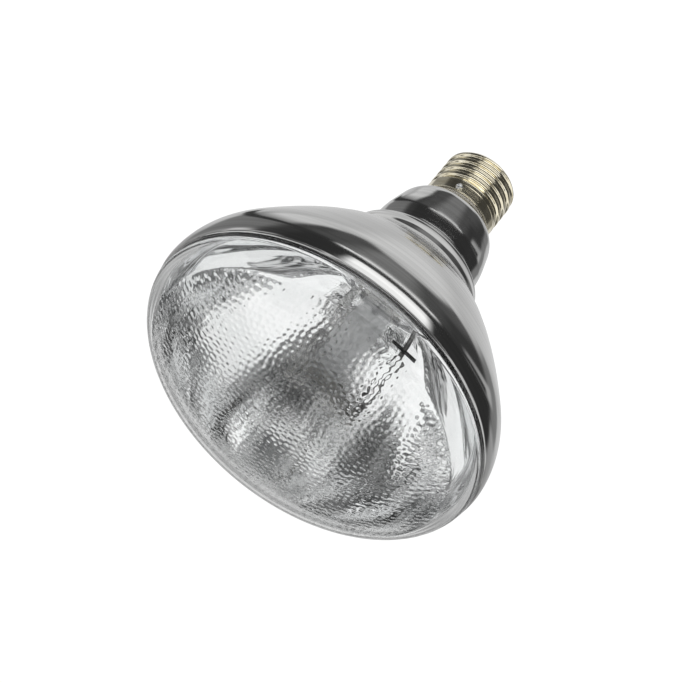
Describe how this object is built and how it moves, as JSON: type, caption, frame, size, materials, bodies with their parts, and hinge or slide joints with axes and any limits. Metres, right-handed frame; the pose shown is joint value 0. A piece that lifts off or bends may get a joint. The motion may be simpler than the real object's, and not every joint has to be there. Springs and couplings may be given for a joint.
{
  "type": "reptile ultraviolet bulb",
  "caption": "Reptile-tank reflector bulb: a clear stippled dome on a mirrored glass bowl with a narrow neck, an arc tube and ballast filament inside, and a screw base that carries it.",
  "frame": {"origin": "tip of the centre contact, on the bulb's axis", "axes": "+Z along the axis from the screw base to the front glass; the side solder is near -Y"},
  "size_m": [0.122, 0.122, 0.1384],
  "materials": {
    "lens_glass": "clear pressed glass, polished outside, stippled inside",
    "mirror_glass": "pressed glass with a bright mirror film inside",
    "nickel_brass": "nickel-plated brass, semi-bright",
    "plug_glass": "black glass, glossy",
    "contact_brass": "bright brass",
    "solder": "dull tin solder",
    "cement": "matt basing cement",
    "stem_glass": "clear glass",
    "copper_lead": "drawn copper",
    "nickel_wire": "drawn nickel",
    "shield_metal": "rolled sheet, satin",
    "tungsten": "dark drawn tungsten",
    "foil": "thin molybdenum foil",
    "quartz": "clear fused quartz",
    "strap_steel": "nickel-plated strip",
    "white_ceramic": "matt steatite",
    "resistor_body": "glazed rod with metal caps",
    "getter": "filled metal channel, dull"
  },
  "bodies": {
    "root": {"lens": "lens_glass", "reflector": "mirror_glass", "screw_shell": "nickel_brass", "base_insulator": "plug_glass", "centre_contact": "contact_brass", "centre_solder": "solder", "side_solder": "solder", "basing_cement": "cement", "glass_stem": "stem_glass", "lead_wire_side": "copper_lead", "lead_wire_centre": "copper_lead", "support_post_long": "nickel_wire", "support_post_short": "nickel_wire", "heat_shield": "shield_metal", "arc_tube": "quartz", "upper_electrode": "tungsten", "lower_electrode": "tungsten", "starting_probe": "tungsten", "seal_foils": "foil", "arc_tube_leads": "nickel_wire", "upper_clamp": "strap_steel", "lower_clamp": "strap_steel", "filament_insulator": "white_ceramic", "filament_hooks": "tungsten", "ballast_filament": "tungsten", "filament_clips": "strap_steel", "starting_resistor": "resistor_body", "getter_strip": "getter"}
  },
  "joints": []
}
